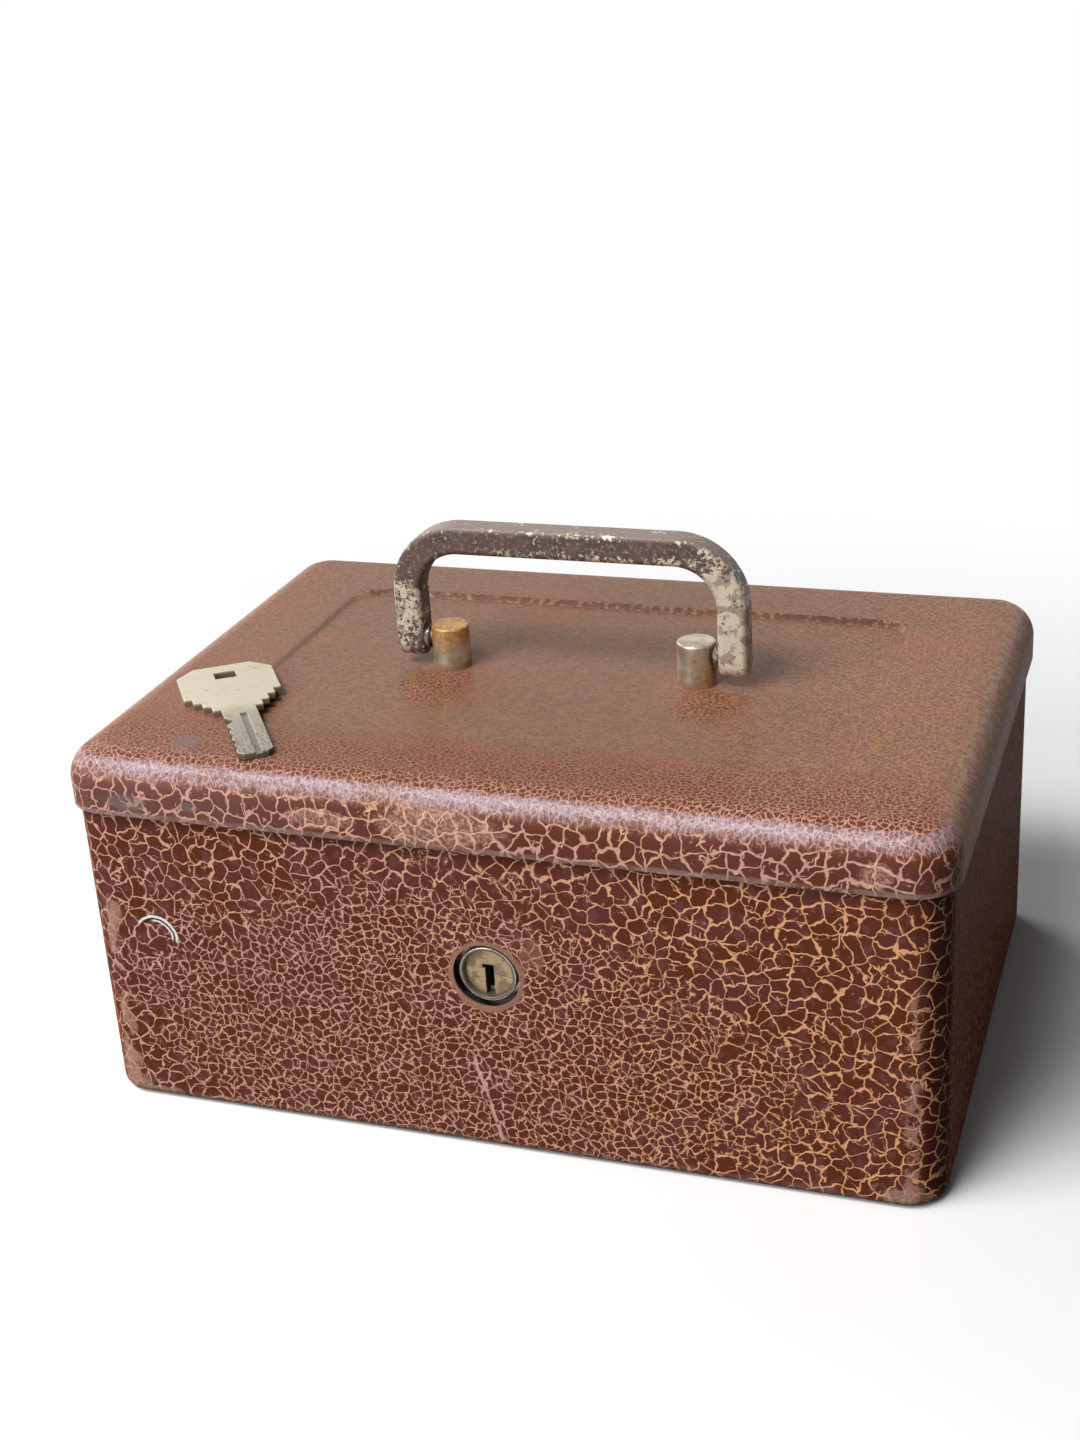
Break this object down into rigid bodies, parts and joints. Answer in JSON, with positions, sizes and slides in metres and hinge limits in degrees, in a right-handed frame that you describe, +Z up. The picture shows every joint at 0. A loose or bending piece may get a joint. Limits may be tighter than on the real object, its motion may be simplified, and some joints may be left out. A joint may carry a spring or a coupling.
{
  "type": "strongbox",
  "caption": "Small steel cash strongbox with a hinged lid, recessed top panel, folding bail handle, cylinder lock with sliding bolt, lift-out coin tray and a flat key lying on the lid.",
  "frame": {"origin": "middle of the flat base, on the surface that the box stands on", "axes": "+X to the right along the front, +Y from the front to the hinges, +Z up"},
  "size_m": [0.2028, 0.1466, 0.1251],
  "materials": {
    "crackle_lacquer": "dark maroon-brown crackle lacquer over a tan undercoat, worn on the edges",
    "hinge_lacquer": "the same dark lacquer, thin, over steel",
    "handle_paint": "dark grey-brown paint chipped to a cream undercoat",
    "tray_lacquer": "plain satin lacquer",
    "post_nickel": "worn nickel plate, brass and rust showing through",
    "lock_ring_steel": "turned and polished",
    "plated_sheet": "dull zinc plate",
    "bare_steel": "dull steel, lightly browned",
    "lock_brass": "satin brass, tarnished",
    "key_nickel": "worn nickel silver"
  },
  "bodies": {
    "root": {"body_shell": "crackle_lacquer", "left_tray_ledge": "plated_sheet", "right_tray_ledge": "plated_sheet", "lock_case": "plated_sheet", "lock_barrel": "lock_ring_steel", "barrel_nut": "lock_ring_steel", "bolt_guide_pillars": "bare_steel", "left_hinge_body_leaf": "hinge_lacquer", "right_hinge_body_leaf": "hinge_lacquer", "left_hinge_pin": "bare_steel", "right_hinge_pin": "bare_steel", "hinge_body_rivets": "bare_steel"},
    "lid": {"lid_shell": "crackle_lacquer", "handle_stiffener": "plated_sheet", "left_handle_post": "post_nickel", "right_handle_post": "post_nickel", "lid_staple": "plated_sheet", "left_hinge_lid_leaf": "hinge_lacquer", "right_hinge_lid_leaf": "hinge_lacquer", "hinge_lid_rivets": "bare_steel"},
    "handle": {"handle_bail": "handle_paint", "left_pivot_pin": "bare_steel", "right_pivot_pin": "bare_steel"},
    "plug": {"lock_plug": "lock_brass", "tumbler_wafers": "lock_brass", "wafer_spring": "bare_steel", "lock_cam": "plated_sheet", "cam_pin": "bare_steel", "cam_clip": "bare_steel"},
    "bolt": {"lock_bolt": "plated_sheet"},
    "tray": {"tray_pan": "tray_lacquer", "tray_front_dividers": "tray_lacquer", "tray_rear_divider": "tray_lacquer", "tray_cross_dividers": "tray_lacquer", "coin_scoops": "tray_lacquer", "tray_lift_tabs": "tray_lacquer"},
    "key": {"key": "key_nickel"}
  },
  "joints": [
    {"name": "lid_hinge", "type": "hinge", "parent": "root", "child": "lid", "pos_m": [0, 0.0732, 0.076], "axis": [-1, 0, 0], "range_deg": [0, 105]},
    {"name": "handle_swing", "type": "hinge", "parent": "lid", "child": "handle", "pos_m": [0, 0, 0.096], "axis": [1, 0, 0], "range_deg": [-97, 97]},
    {"name": "plug_turn", "type": "hinge", "parent": "root", "child": "plug", "pos_m": [0, -0.0675, 0.045], "axis": [0, 1, 0], "range_deg": [0, 90]},
    {"name": "bolt_slide", "type": "slide", "parent": "root", "child": "bolt", "axis": [1, 0, 0], "range_m": [0, 0.01]},
    {"name": "tray_lift", "type": "slide", "parent": "root", "child": "tray", "axis": [0, 0, 1], "range_m": [0, 0.005]},
    {"name": "key_lift", "type": "slide", "parent": "lid", "child": "key", "axis": [0, 0, 1], "range_m": [0, 0.04]}
  ],
  "couplings": [
    {"joint": "bolt_slide", "follows": "plug_turn", "m_per_rad": 0.0063022}
  ]
}
